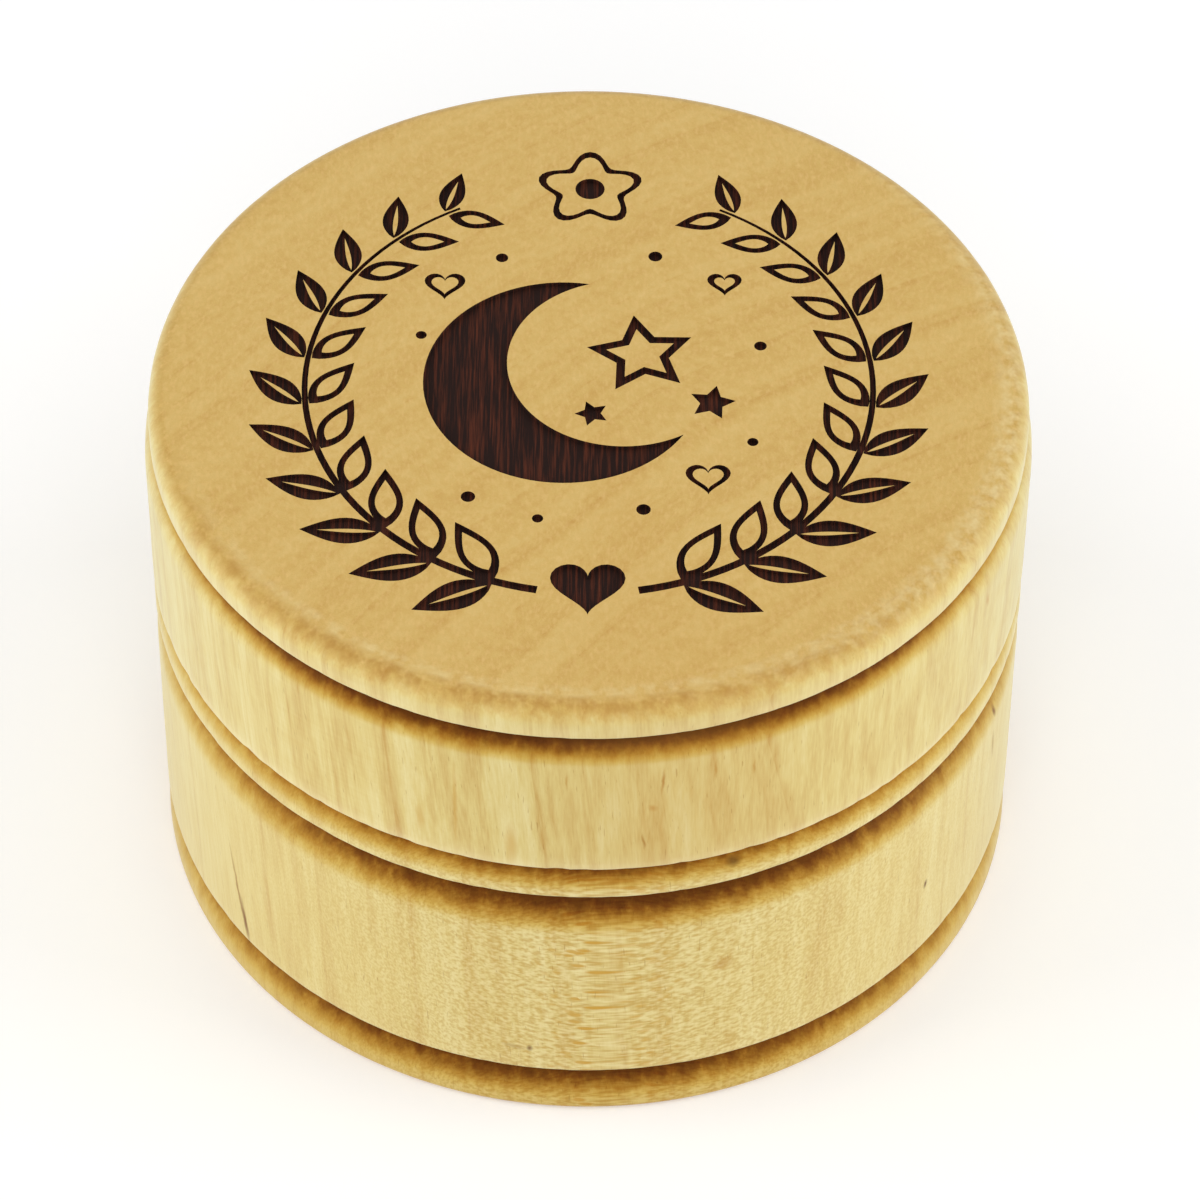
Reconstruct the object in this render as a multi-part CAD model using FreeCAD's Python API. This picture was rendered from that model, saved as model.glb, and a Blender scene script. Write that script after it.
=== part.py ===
"""A small turned wooden keepsake box for baby teeth: a base with a spigot, and a push-on lid.

Both pieces are turned on a lathe, so each one is an outline spun round the vertical axis.
The outside is a stack of bands. Under each band the tool has cut a notch: a flat ledge above,
and below it a rounded shoulder that runs out into the next band.
The origin is the centre of the underside, +Z is up, and sizes are in millimetres.
"""

import FreeCAD
import Part

import math
import os

# Outside, from the table up
band_diameter = 56.0      # the full bands, on the base and on the lid
base_height = 24.0        # table to the seam
lid_height = 14.0         # seam to the top face
foot_height = 4.05        # table to the ledge under the base's band
bead_height = 2.65        # seam down to the ledge under the base's narrow bead
rim_height = 2.2          # top face down to the ledge under the lid's rim
rim_setback = 0.35        # how far the rim's face stands in from the bands

# Notches, measured inwards from the bands, and the rounded shoulders under them
foot_notch_depth = 1.7
bead_notch_depth = 2.0
bead_shoulder_height = 3.8
seam_notch_depth = 1.1
rim_notch_depth = 1.7
rim_shoulder_height = 2.3
bead_land = 0.15          # straight stretch left on the bead, below its shoulder
foot_land = 0.2           # straight stretch left on the foot, below its shoulder

# Edges
rim_round = 1.25          # upper edge of the rim
foot_round = 0.5          # edge that meets the table
edge_break = 0.2          # sanded arrises of the bands and of the bore's mouth

# Inside, and the push fit between the two pieces
side_wall = 8.5           # from the bands' face in to the hollow that holds the tooth
floor_thickness = 6.0     # wood left under the hollow
floor_round = 3.0         # cove at the hollow's floor
spigot_wall = 2.5         # wall of the upstanding ring that the lid pushes onto
spigot_height = 5.0
spigot_lead_in = 0.6      # bevel on the spigot's top edge
fit_clearance = 0.1       # between the spigot and the lid's recess, on the radius
lid_top_thickness = 5.5   # wood left over the recess
recess_lead_in = 0.5      # bevel at the recess's mouth

# Places that follow from the sizes
band_radius = band_diameter / 2
rim_radius = band_radius - rim_setback
bore_radius = band_radius - side_wall
spigot_radius = bore_radius + spigot_wall
recess_radius = spigot_radius + fit_clearance
seam = base_height
spigot_top = seam + spigot_height
lid_top = seam + lid_height
recess_top = lid_top - lid_top_thickness
bead_ledge = seam - bead_height
rim_ledge = lid_top - rim_height

# Directions in the section, as (radius, height)
UP, DOWN, OUT, IN = (0, 1), (0, -1), (1, 0), (-1, 0)


class Outline:
    """Half of a turned piece's section: straight and round cuts from point to point, as (radius, height)."""

    def __init__(self, radius, height):
        self.first = self.last = (radius, height)
        self.cuts = []

    @staticmethod
    def vector(point):
        return FreeCAD.Vector(point[0], 0, point[1])

    def line(self, radius, height):
        """A straight cut to a point."""
        end = (radius, height)
        self.cuts.append(Part.LineSegment(self.vector(self.last), self.vector(end)))
        self.last = end
        return self

    def arc(self, middle, end):
        """A round cut through a middle point to an end point."""
        self.cuts.append(Part.Arc(self.vector(self.last), self.vector(middle), self.vector(end)))
        self.last = end
        return self

    def bevel(self, corner, size, before, after):
        """A straight cut towards a corner, then a 45 degree bevel across it."""
        self.line(corner[0] - size * before[0], corner[1] - size * before[1])
        return self.line(corner[0] + size * after[0], corner[1] + size * after[1])

    def quarter_round(self, corner, size, before, after):
        """A straight cut towards a corner, then a quarter circle that is tangent to both its sides."""
        centre = [corner[k] + size * (after[k] - before[k]) for k in (0, 1)]
        middle = [centre[k] + size * (before[k] - after[k]) * math.sqrt(0.5) for k in (0, 1)]
        self.line(corner[0] - size * before[0], corner[1] - size * before[1])
        return self.arc(middle, (corner[0] + size * after[0], corner[1] + size * after[1]))

    def shoulder(self, radius, foot, depth, rise):
        """The rounded shoulder of a notch: upright where it leaves the band, and depth deep at the ledge.

        A circle that is upright at the shoulder's foot and passes through the point that lies depth
        further in and rise higher up has the radius (depth squared + rise squared) / (2 depth).
        """
        curve = (depth ** 2 + rise ** 2) / (2 * depth)
        half_turn = math.atan2(rise, curve - depth) / 2
        middle = (radius - curve * (1 - math.cos(half_turn)), foot + curve * math.sin(half_turn))
        return self.line(radius, foot).arc(middle, (radius - depth, foot + rise))

    def spin(self):
        """The closed outline, turned once round the vertical axis."""
        self.line(*self.first)
        section = Part.Face(Part.Wire([cut.toShape() for cut in self.cuts]))
        return section.revolve(FreeCAD.Vector(0, 0, 0), FreeCAD.Vector(0, 0, 1), 360)


def make_base():
    """Foot, band and bead up the outside, then over the spigot and down into the hollow."""
    piece = Outline(0, 0)
    piece.quarter_round((band_radius, 0), foot_round, OUT, UP)
    foot_start = foot_round + foot_land
    piece.shoulder(band_radius, foot_start, foot_notch_depth, foot_height - foot_start)
    piece.bevel((band_radius, foot_height), edge_break, OUT, UP)
    band_top = bead_ledge - bead_shoulder_height
    piece.shoulder(band_radius, band_top, bead_notch_depth, bead_shoulder_height)
    piece.bevel((band_radius, bead_ledge), edge_break, OUT, UP)
    bead_start = bead_ledge + edge_break + bead_land
    piece.shoulder(band_radius, bead_start, seam_notch_depth, seam - bead_start)
    piece.line(spigot_radius, seam)
    piece.bevel((spigot_radius, spigot_top), spigot_lead_in, UP, IN)
    piece.bevel((bore_radius, spigot_top), edge_break, IN, DOWN)
    piece.quarter_round((bore_radius, floor_thickness), floor_round, DOWN, IN)
    piece.line(0, floor_thickness)
    return piece.spin()


def make_lid():
    """Down the recess, then up the band, over the notch and round the rim to the flat top."""
    piece = Outline(0, recess_top)
    piece.line(recess_radius, recess_top)
    piece.bevel((recess_radius, seam), recess_lead_in, DOWN, OUT)
    piece.bevel((band_radius, seam), edge_break, OUT, UP)
    band_top = rim_ledge - rim_shoulder_height
    piece.shoulder(band_radius, band_top, rim_notch_depth, rim_shoulder_height)
    piece.bevel((rim_radius, rim_ledge), edge_break, OUT, UP)
    piece.quarter_round((rim_radius, lid_top), rim_round, UP, IN)
    piece.line(0, lid_top)
    return piece.spin()


def main():
    os.makedirs("parts", exist_ok=True)
    for name, make in {"base": make_base, "lid": make_lid}.items():
        shape = make()
        shape.exportStep(f"parts/{name}.step")
        box = shape.optimalBoundingBox(False, False)
        print(f"{name}: {box.XLength:.2f} x {box.YLength:.2f} mm, {box.ZMin:.2f} to {box.ZMax:.2f} mm high,"
              f" {shape.Volume / 1000:.2f} cm3, valid {shape.isValid()}, {len(shape.Solids)} solid")


main()
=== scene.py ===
# %% [markdown]
# # A turned maple keepsake box
# The real box is two pieces of pale maple, turned on a lathe: a base with a spigot, and a lid that
# pushes onto it. This lesson loads the CAD model as a fixed frame, replaces its two nodes by finer
# turned surfaces, burns a design into the lid, and then makes the wood, the light and the camera.

# %% Load the frame
import math
from collections import namedtuple
from functools import partial

import bpy
import numpy as np
from mathutils import Matrix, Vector
from mathutils.geometry import delaunay_2d_cdt


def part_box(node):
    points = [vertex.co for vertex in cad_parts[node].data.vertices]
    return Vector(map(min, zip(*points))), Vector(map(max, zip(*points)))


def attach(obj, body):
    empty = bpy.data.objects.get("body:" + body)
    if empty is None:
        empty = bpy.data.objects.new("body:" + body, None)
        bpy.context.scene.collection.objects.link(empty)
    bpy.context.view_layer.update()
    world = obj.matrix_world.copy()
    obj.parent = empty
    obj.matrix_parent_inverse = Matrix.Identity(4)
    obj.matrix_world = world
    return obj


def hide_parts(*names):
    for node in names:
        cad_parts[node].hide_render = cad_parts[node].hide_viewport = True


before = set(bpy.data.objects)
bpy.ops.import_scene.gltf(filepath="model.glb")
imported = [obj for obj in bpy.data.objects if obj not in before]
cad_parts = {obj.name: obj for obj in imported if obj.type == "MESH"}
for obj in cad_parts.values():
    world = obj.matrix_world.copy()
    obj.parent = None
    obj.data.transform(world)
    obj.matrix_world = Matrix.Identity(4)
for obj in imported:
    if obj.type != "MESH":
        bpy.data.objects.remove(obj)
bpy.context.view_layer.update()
MM = 0.001

# %% [markdown]
# The sizes are those of the CAD model, in millimetres. Heights are above the table, and radii are
# from the turning axis. The boxes of the two CAD nodes give the outer sizes, and the rest is marked
# out from them. Written once here, they place the surfaces and the wood's colouring alike.


# %% Sizes of the turning
def corners(node):
    """The lowest and the highest corner of a CAD node in mm, to the hundredths that it is drawn in."""
    return np.round(np.array(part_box(node)) / MM, 2).tolist()


_, (BAND, _, SPIGOT_TOP) = corners("base")
(_, _, SEAM), (_, _, TOP) = corners("lid")

FOOT_LEDGE = 4.05                # under the base's band
BEAD_LEDGE = SEAM - 2.65         # under the base's narrow bead
RIM_LEDGE = TOP - 2.2            # under the lid's rim
RIM = BAND - 0.35                # the rim stands in from the bands
FOOT_ROUND = 0.5                 # edge that meets the table
RIM_ROUND = 1.25                 # upper edge of the rim
EDGE = 0.1                       # sanded edges of the bands and of the bore's mouth

FOOT_NOTCH = 1.7                 # depths of the notches, in from the bands
BEAD_NOTCH = 2.0
SEAM_NOTCH = 1.1
RIM_NOTCH = 1.7
FOOT_START = FOOT_ROUND + 0.2    # heights at which the shoulders below the notches start
BAND_TOP = BEAD_LEDGE - 3.8
BEAD_START = BEAD_LEDGE + 0.35
LID_BAND_TOP = RIM_LEDGE - 2.3

BORE = BAND - 8.5                # the hollow in the base
FLOOR = 6.0                      # wood left under the hollow
FLOOR_ROUND = 3.0                # cove at the hollow's floor
SPIGOT = BORE + 2.5              # the ring that the lid pushes onto
SPIGOT_LEAD = 0.6                # bevel on the spigot's top edge
RECESS = SPIGOT + 0.1            # the lid's recess, with room for a push fit
RECESS_LEAD = 0.5                # bevel at the recess's mouth
RECESS_TOP = TOP - 5.5           # wood left over the recess
print("bands:", 2 * BAND, "mm across, seam at", SEAM, "and top at", TOP)

# %% [markdown]
# A turner's outline is a chain of straight and round cuts. Each kind of cut is one small function
# that gives points (radius, height). A modeller could also draw a Bezier curve and use a Screw
# modifier, but arrays keep every radius exact and let the wood read where on the piece it is.


# %% Cuts of the outline
def straight(start, end, step=0.4):
    """A straight cut: start + t (end - start), with t from 0 to 1 in even steps of at most a length in mm."""
    count = max(2, math.ceil(math.dist(start, end) / step) + 1)
    return np.linspace(start, end, count)


def round_cut(centre, radius, first, last, count=7):
    """A round cut: centre + radius (cos a, sin a), with the angle a from first to last, in degrees."""
    a = np.radians(np.linspace(first, last, count))
    return np.asarray(centre) + radius * np.stack([np.cos(a), np.sin(a)], axis=1)


def shoulder(foot, depth, rise, count=18):
    """The rounded shoulder of a notch: a circle of radius c = (depth^2 + rise^2) / (2 depth), upright at
    its foot, so the point at the angle a lies at (band - c (1 - cos a), foot + c sin a)."""
    c = (depth ** 2 + rise ** 2) / (2 * depth)
    return round_cut((BAND - c, foot), c, 0, math.degrees(math.atan2(rise, c - depth)), count)


def arris(radius, height):
    """The sanded lower edge of a band: a quarter circle of the edge's radius, from the ledge to the face."""
    return round_cut((radius - EDGE, height + EDGE), EDGE, -90, 0, 5)


def chain(*cuts):
    """The cuts one after another, with the points that two cuts share kept once."""
    points = np.vstack(cuts)
    apart = np.linalg.norm(np.diff(points, axis=0), axis=1) > 1e-6
    return points[np.concatenate([[True], apart])]


print("a shoulder's points:", len(shoulder(BAND_TOP, BEAD_NOTCH, BEAD_LEDGE - BAND_TOP)))

# %% [markdown]
# The base's outline starts underneath, goes up the outside and over the spigot, and ends on the floor
# of the hollow. The lid's starts in the recess, goes out to the seam and up the outside, and ends
# where the flat top begins. Next to the axis both leave a small hole, which a cap of triangles closes.
# The CAD meshes could be smoothed instead, but their facets are too coarse for a clean curve. The bands
# have shorter steps than the floors and the hidden walls, because the eye follows them.

# %% Outlines of the base and the lid
HOLE = 1.0
FLOOR_STEP, INSIDE_STEP, BAND_STEP = 3, 1, 0.6
base_outline = chain(
    straight((HOLE, 0), (BAND - FOOT_ROUND, 0), FLOOR_STEP),
    round_cut((BAND - FOOT_ROUND, FOOT_ROUND), FOOT_ROUND, -90, 0),
    shoulder(FOOT_START, FOOT_NOTCH, FOOT_LEDGE - FOOT_START),
    straight((BAND - FOOT_NOTCH, FOOT_LEDGE), (BAND - EDGE, FOOT_LEDGE)),
    arris(BAND, FOOT_LEDGE),
    straight((BAND, FOOT_LEDGE + EDGE), (BAND, BAND_TOP), BAND_STEP),
    shoulder(BAND_TOP, BEAD_NOTCH, BEAD_LEDGE - BAND_TOP),
    straight((BAND - BEAD_NOTCH, BEAD_LEDGE), (BAND - EDGE, BEAD_LEDGE)),
    arris(BAND, BEAD_LEDGE),
    shoulder(BEAD_START, SEAM_NOTCH, SEAM - BEAD_START),
    straight((BAND - SEAM_NOTCH, SEAM), (BAND - SEAM_NOTCH - EDGE, SEAM)),
    straight((BAND - SEAM_NOTCH - EDGE, SEAM), (SPIGOT, SEAM), INSIDE_STEP),
    straight((SPIGOT, SEAM), (SPIGOT, SPIGOT_TOP - SPIGOT_LEAD), INSIDE_STEP),
    straight((SPIGOT - SPIGOT_LEAD, SPIGOT_TOP), (BORE + EDGE, SPIGOT_TOP), INSIDE_STEP),
    round_cut((BORE + EDGE, SPIGOT_TOP - EDGE), EDGE, 90, 180, 5),
    straight((BORE, SPIGOT_TOP - EDGE), (BORE, FLOOR + FLOOR_ROUND), INSIDE_STEP),
    round_cut((BORE - FLOOR_ROUND, FLOOR + FLOOR_ROUND), FLOOR_ROUND, 0, -90, 12),
    straight((BORE - FLOOR_ROUND, FLOOR), (HOLE, FLOOR), FLOOR_STEP),
)
lid_outline = chain(
    straight((HOLE, RECESS_TOP), (RECESS, RECESS_TOP), FLOOR_STEP),
    straight((RECESS, RECESS_TOP), (RECESS, SEAM + RECESS_LEAD), INSIDE_STEP),
    straight((RECESS + RECESS_LEAD, SEAM), (BAND - EDGE, SEAM), INSIDE_STEP),
    arris(BAND, SEAM),
    straight((BAND, SEAM + EDGE), (BAND, LID_BAND_TOP), BAND_STEP),
    shoulder(LID_BAND_TOP, RIM_NOTCH, RIM_LEDGE - LID_BAND_TOP),
    straight((BAND - RIM_NOTCH, RIM_LEDGE), (RIM - EDGE, RIM_LEDGE)),
    arris(RIM, RIM_LEDGE),
    round_cut((RIM - RIM_ROUND, TOP - RIM_ROUND), RIM_ROUND, 0, 90, 14),
)
print("outline points:", len(base_outline), "on the base,", len(lid_outline), "on the lid")

# %% [markdown]
# Turning the outline once round the axis gives a grid of points: one parameter runs along the outline
# and the other round the piece. A real turner sands by hand, so the flats are a hundredth or two of
# a millimetre uneven, and the sharp lower edges have small nicks, most of all the lid's, which is handled.
# Both only take wood away, so the piece stays in the CAD box. A Displace modifier could do this with
# noise, but sums of sine waves with whole numbers of waves to a turn close on themselves exactly.

# %% Turn an outline
SEGMENTS = 360
ROUND = 2 * np.pi * np.arange(SEGMENTS) / SEGMENTS
SANDED = 0.02                    # most that sanding takes off a flat
SANDING_WAVES = (3, 7, 13, 29, 47)
DRIFT = 60                       # height in mm over which the sanding waves turn by a radian
NICK_WAVES = (17, 31, 53, 71, 89, 113)
NICK_REACH = 0.3                 # length over which a nick fades up and down the face
EDGE_WEAR = ((FOOT_LEDGE, 0.03), (BEAD_LEDGE, 0.04), (SEAM, 0.08), (RIM_LEDGE, 0.03))    # deepest nicks


def unevenness(angle, height, phase):
    """Hand sanding, from 0 to 1: a half plus slow sine waves round the piece that drift with the height. The
    phase makes the pieces differ."""
    waves = sum(np.sin(n * angle + phase * n * n + n * height / DRIFT) for n in SANDING_WAVES)
    return np.clip(0.5 + waves / len(SANDING_WAVES), 0, 1)


def nicks(angle, phase):
    """Small bites out of an edge, from 0 to 1: short sine waves added up, with only the crests kept."""
    waves = sum(np.sin(n * angle + phase * n * n) for n in NICK_WAVES)
    return np.clip(2 * waves / len(NICK_WAVES), 0, 1) ** 1.5


def turned(outline, phase):
    """The outline (r, z) turned by the angle a lies at (r cos a, r sin a, z). On the outside, r loses a
    little to sanding, and up to the wear of an edge where a nick reaches it. The foot's rounded edge and the
    top of the rim's stay as they are, and so does what lies more than a millimetre in from the bands."""
    r, z = (np.repeat(outline[:, k:k + 1], SEGMENTS, axis=1) for k in (0, 1))
    wear = sum(bite * np.exp(-np.abs(z - ledge) / NICK_REACH) for ledge, bite in EDGE_WEAR)
    outside = np.clip((r - BAND + 1) / 0.5, 0, 1) * (z > FOOT_ROUND + 0.1) * (z < TOP - 0.5)
    r = r - outside * (SANDED * unevenness(ROUND, z, phase) + wear * nicks(ROUND, phase))
    return np.stack([r * np.cos(ROUND), r * np.sin(ROUND), z], axis=2)


base_points = turned(base_outline, phase=0.7)
lid_points = turned(lid_outline, phase=2.1)
print("grids:", base_points.shape, lid_points.shape)
print("chord error in mm:", round(BAND * (1 - math.cos(math.pi / SEGMENTS)), 4))

# %% [markdown]
# The lid's design is burnt in by a laser. Here it is a leafy wreath round a moon, with hearts, stars
# and a flower, all drawn as closed outlines. Curves drawn by hand would do as well, but short formulas
# are exact at any size. A shape is an outer outline, and most have the outline of wood left inside it.


# %% Motifs of the burnt design
def placed(points, at, heading=0.0):
    """Points turned by a heading in degrees, counter-clockwise, and moved to a place."""
    c, s = math.cos(math.radians(heading)), math.sin(math.radians(heading))
    return points @ np.array([[c, s], [-s, c]]) + np.asarray(at)


def leaf(length, width, start, count=15):
    """A leaf along +x of half width (width / 2) sin(pi t^0.8), with t from 0 at the stalk to 1 at the tip."""
    t = np.linspace(0, 1, count)
    half = width / 2 * np.sin(np.pi * t ** 0.8)
    upper = np.stack([start + length * t, half], axis=1)
    lower = np.stack([start + length * t, -half], axis=1)[-2:0:-1]
    return np.vstack([upper, lower])[::-1]


def ring(radius, count, petals=0, swell=0.0):
    """A circle, or a flower whose radius swells and sinks once a petal: radius (1 + swell cos(petals a))."""
    a = np.linspace(0, 2 * np.pi, count, endpoint=False)
    r = radius * (1 + swell * np.cos(petals * a))
    return np.stack([r * np.cos(a), r * np.sin(a)], axis=1)


def star(radius, points=5, inner=0.5):
    """A star: the corners' radius goes to and fro between the full radius and a share of it."""
    a = np.pi / 2 + np.pi * np.arange(2 * points) / points
    r = radius * np.where(np.arange(2 * points) % 2, inner, 1)
    return np.stack([r * np.cos(a), r * np.sin(a)], axis=1)


def heart(width, count=40):
    """A heart: x = 16 sin^3 a and y = 13 cos a - 5 cos 2a - 2 cos 3a - cos 4a + 2, scaled to its width."""
    a = np.linspace(0, 2 * np.pi, count, endpoint=False)
    y = 13 * np.cos(a) - 5 * np.cos(2 * a) - 2 * np.cos(3 * a) - np.cos(4 * a)
    return np.stack([16 * np.sin(a) ** 3, y + 2], axis=1)[::-1] * width / 32


def crescent(outer, inner, shift, count=60):
    """A moon: a disc less a smaller disc shifted along +x. The horns are where the two circles cross."""
    horn = math.acos((outer ** 2 + shift ** 2 - inner ** 2) / (2 * outer * shift))
    bite = math.acos((shift ** 2 + inner ** 2 - outer ** 2) / (2 * inner * shift))
    back = np.linspace(horn, 2 * np.pi - horn, count)
    hollow = np.linspace(np.pi + bite, np.pi - bite, count)[1:-1]
    edge = outer * np.stack([np.cos(back), np.sin(back)], axis=1)
    cut = inner * np.stack([np.cos(hollow), np.sin(hollow)], axis=1) + [shift, 0]
    return np.vstack([edge, cut])


def stem(radius, first, last, width, count=50):
    """A stem that follows a circle and thins from its full width to a third of it at the tip."""
    a = np.radians(np.linspace(first, last, count))
    half = width / 2 * np.linspace(1, 0.33, count)
    way = np.stack([np.cos(a), np.sin(a)], axis=1)
    return np.vstack([way * (radius + half)[:, None], (way * (radius - half)[:, None])[::-1]])


print("motifs: leaf, ring, star, heart, crescent, stem")

# %% [markdown]
# The wreath is two sprigs that mirror each other. Outer leaves are filled, with the midrib left
# standing, and inner leaves are a thin burnt line. The line is 0.4 mm wide, as a laser leaves it.

# %% Lay the design out
LINE = 0.4
WREATH = 17.8
STEM_WIDTH, STALK, MIDRIB = 0.6, 0.35, 0.3
LEAF_LENGTH, LEAF_WIDTH = 5.3, 2.3
FLOWER = (0, 17.6)


def sprig(side):
    """Half of the wreath, on the right for a side of 1 and on the left for -1: a stem, and pairs of leaves
    that lean away from it and shrink by 3 % a pair towards its tip."""
    mirror = np.array([side, 1])
    made = [[stem(WREATH, -80, 62, STEM_WIDTH) * mirror]]
    for k, angle in enumerate(np.linspace(-72, 58, 11)):
        size = 1.0 - 0.03 * k
        length, width = size * LEAF_LENGTH, size * LEAF_WIDTH
        root = WREATH * np.array([math.cos(math.radians(angle)), math.sin(math.radians(angle))])
        whole = (length, width, STALK)
        midrib = (0.72 * length, MIDRIB, STALK + 0.06 * length)
        inset = (length - 4.4 * LINE, width - 2.1 * LINE, STALK + 2.0 * LINE)
        for lean, left in ((-42, midrib), (44, inset)):
            heading = angle + 90 + lean
            made.append([placed(leaf(*sizes), root, heading) * mirror for sizes in (whole, left)])
    return made


shapes = sprig(1) + sprig(-1)
# The moon, a star drawn as a line, and two small full ones
shapes.append([placed(crescent(8.8, 7.3, 4.1), (-1.6, 0.2), 24)])
shapes.append([placed(star(radius), (3.3, 2.6), 8) for radius in (3.5, 2.25)])
for radius, at, heading in ((1.5, (7.7, -1.6), -12), (1.1, (0.2, -2.6), 20)):
    shapes.append([placed(star(radius), at, heading)])
# The heart between the stems, and the flower between the tips
shapes.append([placed(heart(4.6), (0, -17.4))])
shapes.append([placed(ring(radius, 60, 5, swell), FLOWER, 18) for radius, swell in ((2.9, 0.2), (2.4, 0.23))])
shapes.append([placed(ring(0.95, 24), FLOWER)])
# Small hearts drawn as a line, and dots
for x, y, width in ((-9.2, 8.6, 2.6), (8.6, 8.9, 2.2), (7.4, -8.2, 2.8)):
    shapes.append([placed(heart(width), (x, y)), placed(heart(width - 2.2 * LINE), (x, y + 0.02 * width))])
for x, y, radius in ((-5.6, 11.2, 0.4), (4.2, 11.4, 0.45), (-10.6, 4.2, 0.35), (10.8, 3.4, 0.4),
                     (3.4, -10.8, 0.45), (-7.4, -9.8, 0.45), (-3.1, -11.6, 0.35), (10.2, -5.0, 0.35)):
    shapes.append([placed(ring(radius, 20), (x, y))])
print("burnt shapes:", len(shapes), "points:", sum(len(loop) for shape in shapes for loop in shape))

# %% [markdown]
# The outlines cut the lid's flat top into triangles by a constrained Delaunay triangulation. What lies
# inside a shape drops by the burn's depth, and a wall joins it to the wood around it. A bump map would
# be quicker, but real depth casts real shadow and stays in the exported mesh.

# %% Cut the design into the lid's top
LATTICE_STEP, LATTICE_HALF = 1.7, 25.0
LATTICE_REACH = RIM - RIM_ROUND - 1.2    # radius at which it stops, short of the rim's rounded edge


def top_triangles(rim_ring):
    """Points and triangles of the flat top: its rim, every outline, and a loose lattice between them, with
    every other row moved by half a step. All triangles are turned to face up."""
    steps = np.arange(-LATTICE_HALF, LATTICE_HALF, LATTICE_STEP)
    lattice = np.stack(np.meshgrid(steps, steps), axis=2).reshape(-1, 2)
    row = np.round((lattice[:, 1] + LATTICE_HALF) / LATTICE_STEP)
    lattice[:, 0] += LATTICE_STEP / 2 * (row % 2)
    lattice = lattice[np.linalg.norm(lattice, axis=1) < LATTICE_REACH]
    loops = [rim_ring] + [loop for shape in shapes for loop in shape]
    starts = np.cumsum([0] + [len(loop) for loop in loops])
    edges = np.vstack([np.stack([np.arange(n), np.roll(np.arange(n), -1)], axis=1) + s
                       for s, n in zip(starts, map(len, loops))])
    given = np.vstack(loops + [lattice])
    made = delaunay_2d_cdt(given.tolist(), edges.tolist(), [], 0, 1e-5)
    points, triangles = np.array(made[0]), np.array(made[2])
    assert np.allclose(points[:SEGMENTS], rim_ring, atol=1e-4)
    a, b, c = (points[triangles[:, k]] for k in range(3))
    turn = (b[:, 0] - a[:, 0]) * (c[:, 1] - a[:, 1]) - (b[:, 1] - a[:, 1]) * (c[:, 0] - a[:, 0])
    triangles[turn < 0] = triangles[turn < 0][:, ::-1]
    return points, triangles


def inside(points, loop):
    """True for points in a closed outline: a ray to the right crosses its edges an odd number of times."""
    a, b = loop, np.roll(loop, -1, axis=0)
    x, y = points[:, :1], points[:, 1:]
    spans = (a[:, 1] > y) != (b[:, 1] > y)
    rise = np.where(a[:, 1] == b[:, 1], 1, b[:, 1] - a[:, 1])
    crossing = a[:, 0] + (y - a[:, 1]) * (b[:, 0] - a[:, 0]) / rise
    return (spans & (x < crossing)).sum(axis=1) % 2 == 1


def burnt_of(middles):
    """True for triangles in a shape's outer outline and not in the outline of the wood left inside it."""
    burnt = np.zeros(len(middles), bool)
    for outer, *left in shapes:
        low, high = outer.min(axis=0), outer.max(axis=0)
        near = np.flatnonzero(((middles >= low) & (middles <= high)).all(axis=1))
        hit = inside(middles[near], outer)
        for loop in left:
            hit &= ~inside(middles[near], loop)
        burnt[near[hit]] = True
    return burnt


top_points, top_faces = top_triangles(lid_points[-1, :, :2])
burnt = burnt_of(top_points[top_faces].mean(axis=1))
print("top triangles:", len(top_faces), "of which burnt:", int(burnt.sum()))

# %% [markdown]
# Materials read facts from the mesh: numbers stored at its points, which Blender calls attributes. The
# first ones say how the tool met the wood. Fibres run up the axis, so a level surface is end grain. The
# inside, the underside and the seam are left raw, and there the length that the tool has cut places the
# fine ridges of its path. Such masks could be painted by hand, but formulas follow the outline exactly.

# %% Facts of the cutting
TOUCH = 0.02                     # closer than this in mm counts as touching
INSIDE = BAND - 2.5              # radius further in than any notch


def end_grain_of(outline):
    """How much a surface cuts across the fibres, from 0 to 1: the square of its normal's height part."""
    along = np.gradient(outline, axis=0)
    return along[:, 0] ** 2 / (along ** 2).sum(axis=1)


def cut_length(outline):
    """The length in mm that the tool has cut along the outline up to each point."""
    return np.concatenate([[0], np.cumsum(np.linalg.norm(np.diff(outline, axis=0), axis=1))])


def raw_of(outline):
    """1 on the inside, the underside and the seam, which stay as the tool cut them, and 0 on the outside."""
    r, z = outline.T
    return ((r < INSIDE) | (z < TOUCH) | (np.abs(z - SEAM) < TOUCH)).astype(float)


print("length of cut in mm:", [round(float(cut_length(cut)[-1]), 1) for cut in (base_outline, lid_outline)])

# %% [markdown]
# The tool's friction has scorched the deep part of each notch, and the brown there is also painted shade,
# the shade that falls under each ledge. In the base's notches the brown is strongest at the front, and here
# at the back too, and weaker at the left and the right, where the side lamps reach in. In the lid's it draws
# back to the deepest part there, and is a little darker in it. An Ambient Occlusion node would find notches
# by itself, but it can't tell the front from the sides, so the depth is stored as a fact.

# %% Facts of the scorch and the painted shade
Notch = namedtuple("Notch", "start ledge deep strength fade narrow turn")
# fade weakens the scorch and painted shade at the left and the right, where the side lamps reach in
BASE_NOTCHES = (
    Notch(FOOT_START, FOOT_LEDGE, FOOT_NOTCH, strength=0.9, fade=0.8, narrow=0.0, turn=0),
    Notch(BAND_TOP, BEAD_LEDGE, BEAD_NOTCH, strength=1.0, fade=0.77, narrow=0.0, turn=10),
    Notch(BEAD_START, SEAM, SEAM_NOTCH, strength=0.88, fade=0.84, narrow=0.0, turn=0),
)
# narrow draws the lid's scorch and painted shade back to the deepest part at the left and the right
LID_NOTCHES = (Notch(LID_BAND_TOP, RIM_LEDGE, RIM_NOTCH, strength=1.0, fade=-0.3, narrow=2.6, turn=0),)
FOOT_TINT = 0.04                 # the foot is a little brown all over


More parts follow.
